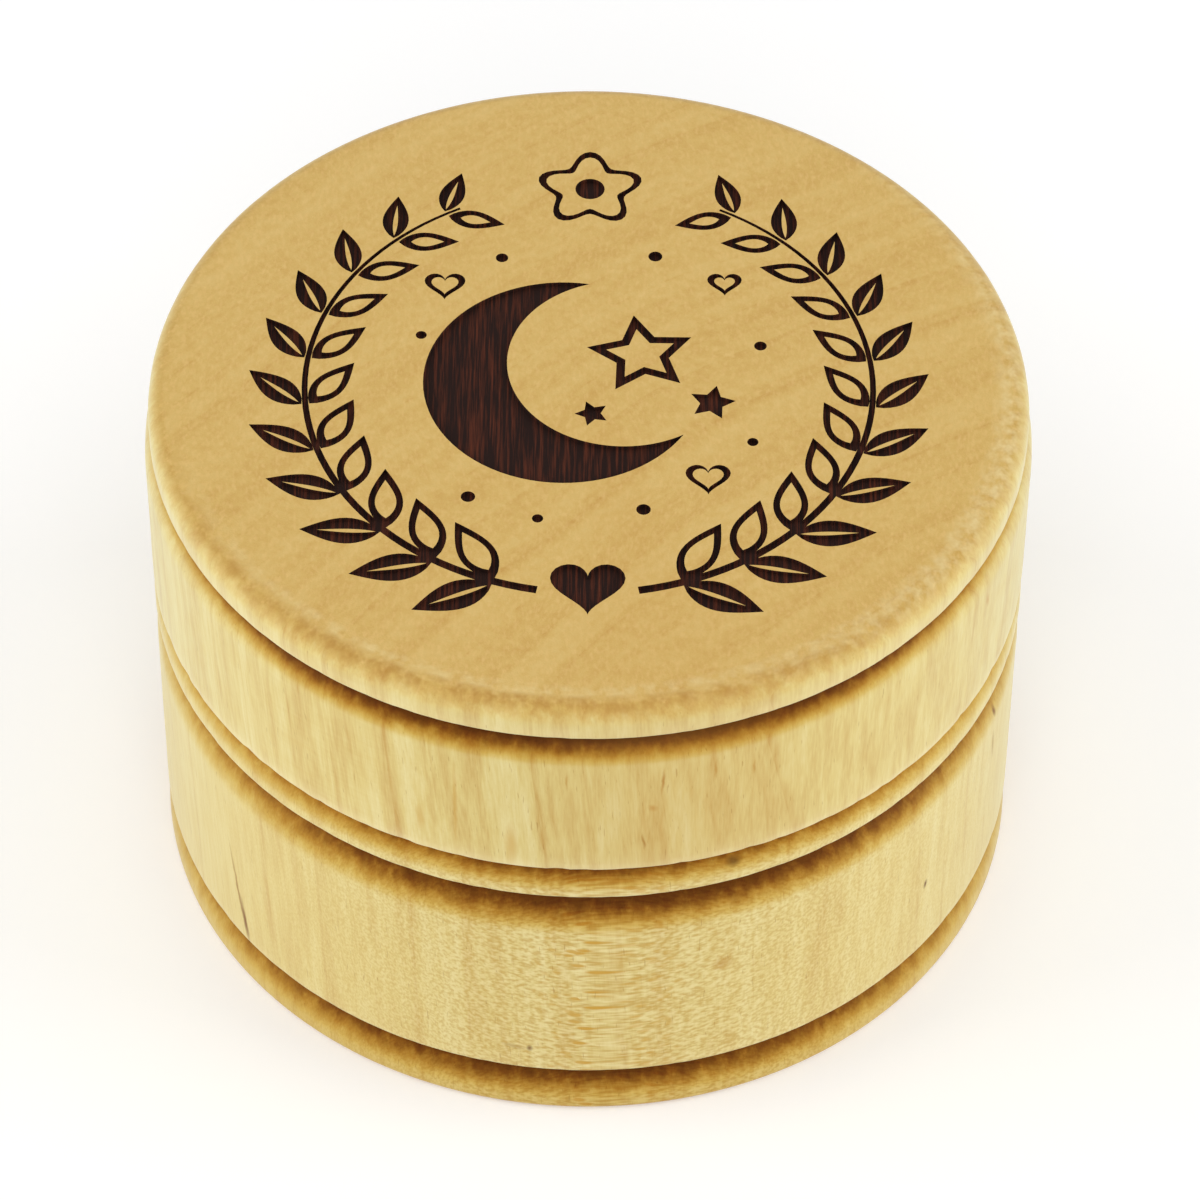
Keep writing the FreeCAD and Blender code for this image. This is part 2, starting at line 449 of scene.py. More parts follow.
def scorch_and_shade_of(outline, notches):
    """How deep each point lies in a notch, in mm, and 0 outside the notches, which sets the scorch and the
    painted shade under the ledges. With the angle a from the right, less the notch's turn, the share of the
    notch's depth is raised to the power 1 + narrow cos^4 a, and the result is multiplied by the strength and
    by 1 - fade cos^2 a, so that the painted shade is weaker at the left and the right."""
    r, z = outline.T
    scorch_and_shade = np.zeros((len(outline), SEGMENTS))
    for notch in notches:
        within = (z >= notch.start) & (z <= notch.ledge + TOUCH) & (r > BAND - notch.deep - TOUCH)
        share = np.clip((BAND - r[within, None]) / notch.deep, 0, 1)
        a = ROUND - math.radians(notch.turn)
        full = notch.strength * notch.deep * (1 - notch.fade * np.cos(a) ** 2)
        scorch_and_shade[within] = full * share ** (1 + notch.narrow * np.cos(a) ** 4)
    scorch_and_shade[(z > TOUCH) & (z <= FOOT_LEDGE) & (r > INSIDE)] += FOOT_TINT
    return scorch_and_shade.ravel()


print("strongest scorch in mm:", scorch_and_shade_of(base_outline, BASE_NOTCHES).max().round(2))

# %% [markdown]
# Use has worn the finish. The lower edges of the bands are rubbed pale, most of all the lid's, which is
# pulled off by it, and this paleness is also a painted highlight along each lower edge. At the left and the
# right the faces are paler too, which is painted side light: the light of the side lamps and the sheen at
# grazing angles, painted into the colour. A Bevel node can find edges while it renders, but only a stored
# fact knows which edges to make paler.

# %% Facts of the wear, the painted highlights and the painted side light
# Each lower edge, the share of rubbed wear and painted highlight at it, and the reach in mm
RUBBED_AND_HIGHLIT_EDGES = ((FOOT_LEDGE, 0.12, 0.5), (BEAD_LEDGE, 0.15, 0.6), (SEAM, 0.5, 0.5), (RIM_LEDGE, 0.35, 1.2))
HANDLED = BAND - 1.6             # a hand reaches no deeper than this radius


def rubbed_and_highlit_of(outline):
    """How far the edges are made pale, by rubbing and by a painted highlight: above each lower edge a share
    that fades with the height h over a reach in mm, share e^(-h / reach), and none on end grain."""
    r, z = outline.T
    pale = sum(np.where((z >= ledge) & (r > HANDLED), share * np.exp((ledge - z) / reach), 0)
               for ledge, share, reach in RUBBED_AND_HIGHLIT_EDGES)
    return pale * (1 - end_grain_of(outline))


def painted_side_light_of(outline, share):
    """Painted side light: how far the sides at the left and the right are made paler, share cos^4 a, with the
    angle a from the right. It fades over the first millimetre in from the rim's radius, and on end grain."""
    reached = np.clip(1 - (RIM - outline[:, 0]), 0, 1) * (1 - end_grain_of(outline))
    return (share * reached[:, None] * np.cos(ROUND) ** 4).ravel()


def facts_of(outline, notches, painted_side_light, added_raw, added_cut):
    """All facts of a piece by name: those of the turned grid, and then those of the points added to it. The
    added points lie on end grain, without scorch, painted shade, wear, painted highlight or painted side
    light."""
    none = np.zeros(len(added_raw))
    return {
        "end_grain": np.append(np.repeat(end_grain_of(outline), SEGMENTS), none + 1),
        # scorch and painted shade in the notches
        "scorch_and_shade": np.append(scorch_and_shade_of(outline, notches), none),
        "raw": np.append(np.repeat(raw_of(outline), SEGMENTS), added_raw),
        "cut": np.append(np.repeat(cut_length(outline), SEGMENTS), added_cut),
        # rubbed edges, with a painted highlight along them
        "rubbed_and_highlit": np.append(np.repeat(rubbed_and_highlit_of(outline), SEGMENTS), none),
        # painted side light at the left and the right
        "painted_side_light": np.append(painted_side_light_of(outline, painted_side_light), none),
    }


print("palest edges:", rubbed_and_highlit_of(base_outline).max().round(2), "and", rubbed_and_highlit_of(lid_outline).max().round(2))

# %% [markdown]
# Now the grid becomes a mesh. bmesh could spin the outline too, but arrays of point numbers are quick and
# leave no seam to weld, and from_pydata takes them in one go. The base is the grid with its two small
# holes closed. Smooth shading with sharp edges kept by angle makes the rounds look round and leaves the
# ledges crisp.


# %% The base as a mesh
def grid_faces(rows):
    """Four-sided faces of a grid that closes on itself, in the order that makes them face outwards."""
    at = np.arange(rows * SEGMENTS).reshape(rows, SEGMENTS)
    after = np.roll(at, -1, axis=1)
    return np.stack([at[:-1], after[:-1], after[1:], at[1:]], axis=2).reshape(-1, 4)


def cap(first, pole, last):
    """Triangles from a ring of points, given by its first number, to the point on the axis that closes it.
    They wind one way on an outline's first ring, and the other way on its last."""
    at = first + np.arange(SEGMENTS)
    after = np.roll(at, -1)
    pole = np.full(SEGMENTS, pole)
    return np.stack([at, after, pole] if last else [pole, after, at], axis=1)


def mesh_piece(name, points, faces, facts, slots=None):
    """A mesh object at the origin, from points in mm, faces, facts, and the material slot of each face."""
    mesh = bpy.data.meshes.new(name)
    mesh.from_pydata((points * MM).tolist(), [], [row for block in faces for row in block.tolist()])
    for fact, values in facts.items():
        mesh.attributes.new(fact, "FLOAT", "POINT").data.foreach_set("value", values.astype(np.float32))
    if slots is not None:
        mesh.polygons.foreach_set("material_index", slots.astype(np.int32))
    mesh.polygons.foreach_set("use_smooth", np.ones(len(mesh.polygons), bool))
    mesh.set_sharp_from_angle(angle=math.radians(32))
    mesh.update()
    piece = bpy.data.objects.new(name, mesh)
    bpy.context.scene.collection.objects.link(piece)
    return piece


base_size = len(base_outline) * SEGMENTS
turned_base = mesh_piece(
    "turned_base",
    np.vstack([base_points.reshape(-1, 3), [[0, 0, 0], [0, 0, FLOOR]]]),
    [
        grid_faces(len(base_outline)),
        cap(0, base_size, last=False),
        cap(base_size - SEGMENTS, base_size + 1, last=True),
    ],
    # the base's sides take a share of 0.25 of painted side light
    facts_of(base_outline, BASE_NOTCHES, painted_side_light=0.25, added_raw=[1, 1],
             added_cut=[-HOLE, cut_length(base_outline)[-1] + HOLE]),
)
print(turned_base.name, "faces:", len(turned_base.data.polygons))

# %% [markdown]
# The lid has the flat top twice: at its full height where the wood stands, and lower down where it is
# burnt. A wall stands on each edge that a burnt and an unburnt triangle share. A Boolean modifier could
# cut the design, but it is slow and leaves slivers. Sorting the edges by their two point numbers brings
# such pairs together, so the search is a few array operations. Points that no face uses are dropped.

# %% The lid as a mesh
BURN_DEPTH = 0.3


def burn_walls(faces, burnt):
    """The directed edges of burnt triangles whose other side is unburnt wood."""
    edges = np.vstack([faces[:, [0, 1]], faces[:, [1, 2]], faces[:, [2, 0]]])
    owner_burnt = np.tile(burnt, 3)
    key = np.sort(edges, axis=1) @ [faces.max() + 1, 1]
    order = np.argsort(key, kind="stable")
    pair = np.flatnonzero(key[order][1:] == key[order][:-1])
    one, other = order[pair], order[pair + 1]
    border = owner_burnt[one] != owner_burnt[other]
    return edges[np.where(owner_burnt[one], one, other)[border]]


def only_used(faces):
    """The point numbers that the faces use, and the faces with those points numbered afresh."""
    used, fresh = np.unique(np.concatenate([block.ravel() for block in faces]), return_inverse=True)
    ends = np.cumsum([block.size for block in faces])[:-1]
    return used, [part.reshape(block.shape) for part, block in zip(np.split(fresh.ravel(), ends), faces)]


pole = len(lid_outline) * SEGMENTS
rim_ring = pole - SEGMENTS + np.arange(SEGMENTS)
upper = np.append(rim_ring, pole + 1 + np.arange(len(top_points) - SEGMENTS))
lower = upper[-1] + 1 + np.arange(len(top_points))
top = np.column_stack([top_points, np.full(len(top_points), TOP)])
added = np.vstack([[[0, 0, RECESS_TOP]], top[SEGMENTS:], top - [0, 0, BURN_DEPTH]])
in_recess = np.append(1, np.zeros(len(added) - 1))
start, end = burn_walls(top_faces, burnt).T
used, lid_faces = only_used([
    grid_faces(len(lid_outline)),
    cap(0, pole, last=False),
    upper[top_faces[~burnt]],
    lower[top_faces[burnt]],
    np.stack([lower[start], upper[start], upper[end], lower[end]], axis=1),
])
in_burn = (False, False, False, True, True)    # the burnt floors and the walls have the second material
# the lid's sides take a share of 0.45 of painted side light
lid_facts = facts_of(lid_outline, LID_NOTCHES, painted_side_light=0.45, added_raw=in_recess, added_cut=-HOLE * in_recess)
turned_lid = mesh_piece(
    "turned_lid",
    np.vstack([lid_points.reshape(-1, 3), added])[used],
    lid_faces,
    {fact: values[used] for fact, values in lid_facts.items()},
    np.repeat(in_burn, [len(block) for block in lid_faces]),
)
print(turned_lid.name, "faces:", len(turned_lid.data.polygons))

# %% [markdown]
# Each piece moves with the CAD body of its node, and stands for that node, which is hidden. Blender's
# validate would repair bad faces, and says whether it had to.

# %% Put the pieces in the frame
for piece, node in ((turned_base, "base"), (turned_lid, "lid")):
    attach(piece, node)
    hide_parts(node)
    repaired = piece.data.validate(verbose=True)
    print(piece.name, "rides on", node, "and needed a repair:", repaired)

# %% [markdown]
# Materials are trees of nodes. One small function adds a node, sets its inputs and links what goes in.
# Colours are written as they look on a screen, and turned to the linear light that the shader needs.
# Patterns read Object coordinates, turned to mm, so that they can be drawn in real sizes.


# %% A colour, a node and a material
def linear(colour):
    """An sRGB hex colour as linear red, green, blue and an alpha of 1."""
    part = np.array([int(colour[k:k + 2], 16) for k in (1, 3, 5)]) / 255
    return (*np.where(part <= 0.04045, part / 12.92, ((part + 0.055) / 1.055) ** 2.4), 1.0)


def add(tree, kind, inputs=None, out=0, stops=(), **settings):
    """Adds a shader node with its settings. Inputs are values, or outputs of other nodes, and stops are the
    places and colours of a colour ramp. Gives one output back."""
    made = tree.nodes.new("ShaderNode" + kind)
    for key, value in settings.items():
        setattr(made, key, value)
    for key, value in (inputs or {}).items():
        if isinstance(value, bpy.types.NodeSocket):
            tree.links.new(value, made.inputs[key])
        else:
            made.inputs[key].default_value = value
    for k, (position, colour) in enumerate(stops):
        stop = made.color_ramp.elements[k] if k < 2 else made.color_ramp.elements.new(position)
        stop.position, stop.color = position, linear(colour)
    return made.outputs[out]


def new_material(name):
    """A material, the inputs of its shader, and the functions that add a node to it and link two sockets."""
    material = bpy.data.materials.new(name)
    material.use_nodes = True
    tree = material.node_tree
    return material, tree.nodes["Principled BSDF"].inputs, partial(add, tree), tree.links.new


def in_mm(node):
    """The point's Object coordinates in mm."""
    return node("VectorMath", {0: node("TexCoord", out="Object"), 1: (1 / MM,) * 3}, operation="MULTIPLY")


print("a mid maple in linear light:", [round(float(v), 3) for v in linear("#d2b970")])

# %% [markdown]
# Wood is a solid, so its figure is made in space: one material serves the end grain on top and the
# long grain on the sides, and the two agree at every edge, which a flat picture of grain could not do.
# The tree's pith lies well outside the piece. The distance from the pith gives the growth rings, the
# angle round it gives the rays, and the height runs along the fibres, which lean and wander a little.

# %% Where in the tree a point lies
LEAN = (0.04, -0.08, 0.0)        # how far the fibres lean for each mm of height
WANDER = 3.0                     # how far they wander, in mm
WANDER_SIZE = (16, 16, 140)      # and over which lengths, across and along


def place_in_tree(node, pith, shift):
    """Gives four vectors: the point in mm; the same leaned, wandered and measured from the pith; that without
    its height; and the place as (distance from the pith, way round it, height)."""
    mm = in_mm(node)
    z = node("SeparateXYZ", {0: mm}, out=2)
    slow = node("Mapping", {"Vector": mm, "Location": shift, "Scale": [1 / size for size in WANDER_SIZE]})
    wander = node("TexNoise", {"Vector": slow, "Scale": 1.0, "Detail": 1.0}, out="Color")
    from_pith = (-WANDER / 2 - pith[0], -WANDER / 2 - pith[1], 0)
    wander = node("VectorMath", {0: wander, 1: (WANDER, WANDER, 0), 2: from_pith}, operation="MULTIPLY_ADD")
    leaned = node("VectorMath", {0: z, 1: LEAN, 2: mm}, operation="MULTIPLY_ADD")
    grown = node("VectorMath", {0: leaned, 1: wander}, operation="ADD")
    flat = node("VectorMath", {0: grown, 1: (1, 1, 0)}, operation="MULTIPLY")
    radius = node("VectorMath", {0: flat}, out="Value", operation="LENGTH")
    x, y = node("SeparateXYZ", {0: grown}).node.outputs[:2]
    angle = node("Math", {0: y, 1: x}, operation="ARCTAN2")
    around = node("Math", {0: angle, 1: math.hypot(*pith)}, operation="MULTIPLY")
    return mm, grown, flat, node("CombineXYZ", {0: radius, 1: around, 2: z})


print("the fibres lean by", round(math.degrees(math.atan(math.hypot(*LEAN))), 1), "degrees")

# %% [markdown]
# Hard maple is pale, with faint growth rings about 3 mm apart, and fibres that show as fine upright
# streaks on the sides and as specks on the end grain. Each is noise stretched to its real size, except
# that single fibres and vessels are too fine to show, so small bundles of them are drawn. A tone adds
# these up and runs through one ramp from pale to dark, so they give only colours that the wood has.

# %% Tone of the maple
YEAR = 3.0                       # width of a growth ring, in mm
YEAR_TONE = 2.6                  # width over which the years differ in tone
YEAR_PACE = 8                    # width over which the rings grow wider or narrower
STREAK = (0.7, 0.7, 8)           # sizes in mm across the fibres, and along them
FIBRE = (0.11, 0.11, 3.5)
VESSEL = (0.13, 0.13, 1.6)
SPECK = (0.26, 0.5, 9)


def spots(node, vector, sizes, low, high, detail=1.0):
    """Noise with grains of given sizes in mm along the vector's three parts, from 0 at low to 1 at high."""
    scaled = node("VectorMath", {0: vector, 1: sizes}, operation="DIVIDE")
    noise = node("TexNoise", {"Vector": scaled, "Scale": 1.0, "Detail": detail, "Roughness": 0.6})
    return node("MapRange", {"Value": noise, "From Min": low, "From Max": high})


def maple_tone(node, grown, tree_place, end, middle, shade, calm):
    """The wood's colour before its rays, and its fibres as a height. The tone falls a little away from the
    pith, as younger wood is paler, and years, streaks, fibres and the rings' borders add to it. The middle is
    how far the piece's axis lies from the pith, and the shade darkens a piece. The tone is drawn towards a
    half: by calm on the sides, and by a half on end grain."""
    radius = node("SeparateXYZ", {0: tree_place}, out=0)
    years = node("TexNoise", {"W": radius, "Scale": 1 / YEAR_TONE, "Detail": 3.0, "Roughness": 0.6},
                 noise_dimensions="1D")
    years = node("MapRange", {"Value": years, "From Min": 0.3, "From Max": 0.7})
    pace = node("TexNoise", {"W": radius, "Scale": 1 / YEAR_PACE, "Detail": 0.0}, noise_dimensions="1D")
    border = node("Math", {0: radius, 1: 1 / YEAR, 2: pace}, operation="MULTIPLY_ADD")
    border = node("Math", {0: border}, operation="FRACT")
    border = node("MapRange", {"Value": border, "From Min": 0.9, "From Max": 1.0})
    streak = spots(node, grown, STREAK, 0.3, 0.7, 2.0)
    fibre = spots(node, grown, FIBRE, 0.3, 0.7)
    border = node("Math", {0: border, 1: streak}, operation="MULTIPLY")
    tone = node("MapRange", {"Value": radius, "From Min": middle - BAND, "From Max": middle + BAND,
                             "To Min": shade + 0.03, "To Max": shade - 0.03})
    for part, share in ((years, 0.4), (streak, 0.38), (fibre, 0.2), (border, 0.3)):
        tone = node("Math", {0: part, 1: share, 2: tone}, operation="MULTIPLY_ADD")
    even = node("Math", {0: end, 1: 0.5 - calm, 2: calm}, operation="MULTIPLY_ADD")
    tone = node("Mix", {0: even, 2: tone, 3: 0.5})
    return node("ValToRGB", {0: tone}, stops=((0.0, "#e1d49b"), (0.5, "#d4bf7a"), (1.0, "#c09c56"))), fibre


print("figure: years, streaks and fibres, with grains of", FIBRE, "mm")

# %% [markdown]
# Rays are thin plates of cells that run out from the pith. Where the surface lies along them they show as
# level dashes, the flecks. A little further round they are cut across and show only as dots, with paler
# wood between them. So the rays are drawn in the tree's own measure (out, round, up), and the dot product
# of the surface's normal with the way out from the pith says how the surface meets them.

# %% Rays and vessels of the maple
RAY_PLATE = (6.0, 0.15, 0.5)     # out from the pith, round it, and up
RAY_LACE = (2.4, 0.1, 0.23)


def with_rays(node, colour, grown, flat, tree_place, end, flecks):
    """The colour with rays, vessels and specks laid over it. Rays show by flecks, and only on the sides."""
    side = node("Math", {0: 1.0, 1: end}, operation="SUBTRACT")
    outward = node("VectorMath", {0: flat}, operation="NORMALIZE")
    normal = node("NewGeometry", out="Normal")
    facing = node("VectorMath", {0: normal, 1: outward}, out="Value", operation="DOT_PRODUCT")
    facing = node("Math", {0: facing}, operation="ABSOLUTE")
    rays = node("Math", {0: side, 1: flecks}, operation="MULTIPLY")
    shown, level = (node("MapRange", {"Value": facing, "From Min": across, "From Max": along, "To Max": rays})
                    for across, along in ((1.05, 0.0), (0.2, 0.04)))

    plates = node("VectorMath", {0: tree_place, 1: RAY_PLATE}, operation="DIVIDE")
    plate = node("TexVoronoi", {"Vector": plates, "Scale": 1.0}).node
    fleck = node("MapRange", {"Value": plate.outputs["Distance"], "From Min": 0.46, "From Max": 0.26})
    chance = node("SeparateXYZ", {0: plate.outputs["Color"]})
    chance = node("MapRange", {"Value": chance, "From Min": 0.35, "From Max": 0.75})
    for limit in (chance, level):
        fleck = node("Math", {0: fleck, 1: limit}, operation="MULTIPLY")
    lace = spots(node, tree_place, RAY_LACE, 0.0, 1.0)
    gap, dots = (node("MapRange", {"Value": lace, "From Min": low, "From Max": high, "To Max": shown})
                 for low, high in ((0.5, 0.35), (0.5, 0.66)))

    vessels = node("Math", {0: spots(node, grown, VESSEL, 0.69, 0.77), 1: side}, operation="MULTIPLY")
    specks = node("Math", {0: spots(node, grown, SPECK, 0.46, 0.8), 1: end}, operation="MULTIPLY")
    for mask, share, tint in ((gap, 0.45, "#eadca6"), (dots, 0.65, "#bb9340"), (fleck, 0.95, "#c4983a"),
                              (vessels, 0.5, "#a67c3a"), (specks, 0.6, "#e2cd90")):
        mask = node("Math", {0: mask, 1: share}, operation="MULTIPLY")
        colour = node("Mix", {0: mask, 6: colour, 7: linear(tint)}, out=2, data_type="RGBA")
    return colour


print("ray plates in mm:", RAY_PLATE, "and lace:", RAY_LACE)

# %% [markdown]
# The finish is a thin wax. End grain drinks more of it and looks darker, so one ramp multiplies the
# colour by how far the surface cuts across the fibres. Noise blurs that border where a surface curves.
# On the rim, worn rings are patchy and fade out on the way round. Rubbed edges are paler, partly as a
# painted highlight, and so are the sides at the left and the right, as painted side light, and the raw wood
# inside.


# %% Wax, wear and painted light
def waxed(node, colour, grown, end):
    """The colour multiplied by the wax's: none on the sides, and more towards end grain."""
    fuzz = spots(node, grown, (0.6, 0.6, 1.0), 0.3, 0.7, 2.0)
    fuzz = node("MapRange", {"Value": fuzz, "To Min": -1.3, "To Max": 1.3})
    curved = node("Math", {0: 1.0, 1: end}, operation="SUBTRACT")
    curved = node("Math", {0: curved, 1: end}, operation="MULTIPLY")
    soaked = node("Math", {0: fuzz, 1: curved, 2: end}, operation="MULTIPLY_ADD")
    wax = node("ValToRGB", {0: soaked}, stops=((0.0, "#ffffff"), (0.12, "#fdf8ec"), (0.45, "#f7e8ce"),
                                               (0.9, "#f2dcbe"), (1.0, "#ffecd8")))
    return node("Mix", {0: 1.0, 6: colour, 7: wax}, out=2, data_type="RGBA", blend_type="MULTIPLY")


def with_worn_rings(node, colour, mm, grown, end, rings):
    """The colour with patchy rings laid over its end grain. A ring is an inner and an outer radius, the way
    from the front, in degrees, to its strongest place, where on that way it starts and is full, as shares of
    the band's radius, the size of its patches in mm, a strength and a colour."""
    off_axis = node("VectorMath", {0: mm, 1: (1, 1, 0)}, operation="MULTIPLY")
    off_axis = node("VectorMath", {0: off_axis}, out="Value", operation="LENGTH")
    for low, high, towards, reach, patch, strength, tint in rings:
        middle, half = (low + high) / 2, (high - low) / 2
        near = node("Math", {0: off_axis, 1: middle}, operation="SUBTRACT")
        near = node("Math", {0: near}, operation="ABSOLUTE")
        near = node("MapRange", {"Value": near, "From Min": half, "From Max": 0.3 * half, "To Max": strength})
        way = (math.sin(math.radians(towards)) / BAND, -math.cos(math.radians(towards)) / BAND, 0)
        sector = node("VectorMath", {0: mm, 1: way}, out="Value", operation="DOT_PRODUCT")
        sector = node("MapRange", {"Value": sector, "From Min": reach[0], "From Max": reach[1]})
        mottled = spots(node, grown, (patch, patch, 2.0), 0.38, 0.66, 2.0)
        for limit in (end, sector, mottled):
            near = node("Math", {0: near, 1: limit}, operation="MULTIPLY")
        colour = node("Mix", {0: near, 6: colour, 7: linear(tint)}, out=2, data_type="RGBA")
    return colour


def paler_by_wear_and_light(node, colour, mm, rubbed_and_highlit, painted_side_light, raw):
    """The colour made paler in patches where edges are rubbed and carry a painted highlight, and where the
    sides carry painted side light, and evenly where the wood is raw.
    """
    patches = spots(node, mm, (1.6, 1.6, 1.6), 0.25, 0.75, 2.0)
    patches = node("MapRange", {"Value": patches, "To Min": 0.5, "To Max": 1.3})
    for worn, share, tint in ((rubbed_and_highlit, patches, "#efe1b2"),
                              (painted_side_light, patches, "#dcd7a6"),
                              (raw, 0.5, "#e4d2a4")):
        pale = node("Math", {0: worn, 1: share}, operation="MULTIPLY")
        colour = node("Mix", {0: pale, 6: colour, 7: linear(tint)}, out=2, data_type="RGBA")
    return colour


# the sides' paleness is painted side light, and the rubbed edges also carry a painted highlight
print("wear: worn rings, rubbed edges, held sides, raw wood inside")

# %% [markdown]
# The notches' brown, scorch and painted shade together, is one more ramp that multiplies the colour, by
# the depth in the notch in mm, with noise so that its border is patchy. Last come single faults of the wood:
# each is a spindle on the unrolled outside, placed and turned by a Mapping node, and a slow noise keeps its
# outline from being too regular. They could be painted on a UV map, but in mm they can be measured off the
# real box.

# %% Scorch, painted shade and faults
WIGGLE = 0.2                     # how far noise moves a fault's outline, in mm


def scorched_and_shaded(node, colour, mm, depth):
    """The colour multiplied by the brown of scorch and painted shade, from white to brown with the depth in
    mm.
    """
    patchy = spots(node, mm, (0.8, 0.8, 1.4), 0.3, 0.7, 3.0)
    patchy = node("MapRange", {"Value": patchy, "To Min": 0.8125, "To Max": 1.6875})
    brown = node("Math", {0: depth, 1: patchy}, operation="MULTIPLY")
    brown = node("ValToRGB", {0: brown}, stops=((0.0, "#ffffff"), (0.04, "#f4eacd"), (0.11, "#ead7a3"),
                                                (0.25, "#d0af6a"), (0.46, "#aa813e"), (0.63, "#91652a"),
                                                (0.88, "#7a5016")))
    return node("Mix", {0: 1.0, 6: colour, 7: brown}, out=2, data_type="RGBA", blend_type="MULTIPLY")


def with_faults(node, colour, mm, faults):
    """The colour with faults laid over it. The outside is unrolled to (way round from the front, height) in
    mm. A fault is a place there, a lean in degrees, half its width and height, a strength and a colour."""
    x, y, z = node("SeparateXYZ", {0: mm}).node.outputs
    front = node("Math", {0: y, 1: -1.0}, operation="MULTIPLY")
    turn = node("Math", {0: x, 1: front}, operation="ARCTAN2")
    unrolled = node("CombineXYZ", {0: node("Math", {0: turn, 1: BAND}, operation="MULTIPLY"), 1: z})
    wiggle = node("TexNoise", {"Vector": mm, "Scale": 1.3, "Detail": 1.0}, out="Color")
    unrolled = node("VectorMath", {0: wiggle, 1: (WIGGLE, WIGGLE, 0), 2: unrolled}, operation="MULTIPLY_ADD")
    for (way, height), lean, half, strength, tint in faults:
        spindle = node("Mapping", {"Vector": unrolled, "Location": (way + WIGGLE / 2, height + WIGGLE / 2, 0),
                                   "Rotation": (0, 0, math.radians(lean)), "Scale": (*half, 1)},
                       vector_type="TEXTURE")
        away = node("VectorMath", {0: spindle}, out="Value", operation="LENGTH")
        fault = node("MapRange", {"Value": away, "From Min": 1.0, "From Max": 0.2, "To Max": strength})
        colour = node("Mix", {0: fault, 6: colour, 7: linear(tint)}, out=2, data_type="RGBA")
    return colour


print("faults: spindles that noise moves by up to", WIGGLE / 2, "mm")

# %% [markdown]
# The finished material is hard maple, turned, sanded and lightly waxed. To the eye it is satin, with a
# soft veil at grazing angles from the wax and the cut ends of the fibres. Sheen gives that, with hardly a
# reflection, where a coat would look like varnish. Fibres make the surface a little rough, and inside the
# tool's ridges add to them.

# %% Turned and waxed maple
RIDGE = 0.35                     # the tool's path moves on by this length in mm for each turn
RELIEF = 0.03 * MM               # height of the fibres and the ridges


def turned_maple(name, pith, shift, flecks, shade, calm, faults, rings=()):
    """Maple whose pith stands at a place given in mm. The shift moves its figure, so that the pieces differ.
    The flecks say how strongly the rays show, the shade how much darker the piece is, and calm how even."""
    material, shader, node, link = new_material(name)
    end, depth, raw, cut, rubbed_and_highlit, painted_side_light = (node("Attribute", out="Fac", attribute_name=fact)
                                          for fact in ("end_grain", "scorch_and_shade", "raw", "cut", "rubbed_and_highlit", "painted_side_light"))
    mm, grown, flat, tree_place = place_in_tree(node, pith, shift)
    colour, fibre = maple_tone(node, grown, tree_place, end, math.hypot(*pith), shade, calm)
    colour = with_rays(node, colour, grown, flat, tree_place, end, flecks)
    colour = waxed(node, colour, grown, end)
    colour = with_worn_rings(node, colour, mm, grown, end, rings)
    # paler by wear, by a painted highlight on the edges and by painted side light
    colour = paler_by_wear_and_light(node, colour, mm, rubbed_and_highlit, painted_side_light, raw)
    # the notches' brown: scorch, and painted shade under the ledges
    colour = scorched_and_shaded(node, colour, mm, depth)
    colour = with_faults(node, colour, mm, faults)

    ridge = node("Math", {0: cut, 1: 2 * math.pi / RIDGE}, operation="MULTIPLY")
    ridge = node("Math", {0: ridge}, operation="SINE")
    ridge = node("Math", {0: ridge, 1: raw}, operation="MULTIPLY")
    height = node("Math", {0: ridge, 1: 0.5, 2: fibre}, operation="MULTIPLY_ADD")
    link(colour, shader["Base Color"])
    link(node("Bump", {"Strength": 0.2, "Distance": RELIEF, "Height": height}), shader["Normal"])
    link(node("MapRange", {"Value": fibre, "To Min": 0.4, "To Max": 0.55}), shader["Roughness"])
    shader["IOR"].default_value = 1.5
    shader["Sheen Weight"].default_value = 0.32
    shader["Sheen Roughness"].default_value = 0.4
    shader["Specular IOR Level"].default_value = 0.05
    return material


print("the tool's ridges are", RIDGE, "mm apart")

# %% [markdown]
# The two pieces come from different places in the tree, so each has its own pith, figure and faults. Spots
# thrown at random would make some other box, so the few that catch the eye are placed one by one.

# %% Wood of the base and the lid
# Place, lean, half its width and height, strength and colour
base_faults = (
    ((-26.0, 8.6), 10.4, (0.16, 4.8), 0.8, "#946400"),       # a hairline crack at the left
    ((-25.35, 5.9), 10.4, (0.26, 2.5), 0.95, "#7a4a00"),     # its open lower end
    ((24.9, 10.4), -8.0, (0.24, 0.5), 1.0, "#6a4000"),       # a pin knot at the right
    ((33.7, 15.4), 4.0, (0.24, 1.7), 0.7, "#a47a28"),        # a streak further round
    ((33.7, 18.6), 8.0, (0.26, 0.7), 0.9, "#7a4a00"),        # a dark fibre in the notch above it
    ((9.32, 22.9), 0.0, (0.65, 0.45), 0.75, "#5f3c14"),      # a bruise on the bead
    ((8.76, 13.4), 20.0, (0.85, 0.8), 0.55, "#b07c20"),      # a brown spot
    ((-3.5, 6.1), 0.0, (0.24, 0.38), 0.9, "#7c5a30"),        # a small knot low on the band
    ((-4.5, 6.1), 80.0, (0.28, 1.0), 0.5, "#a07a3c"),        # the stain beside it
)
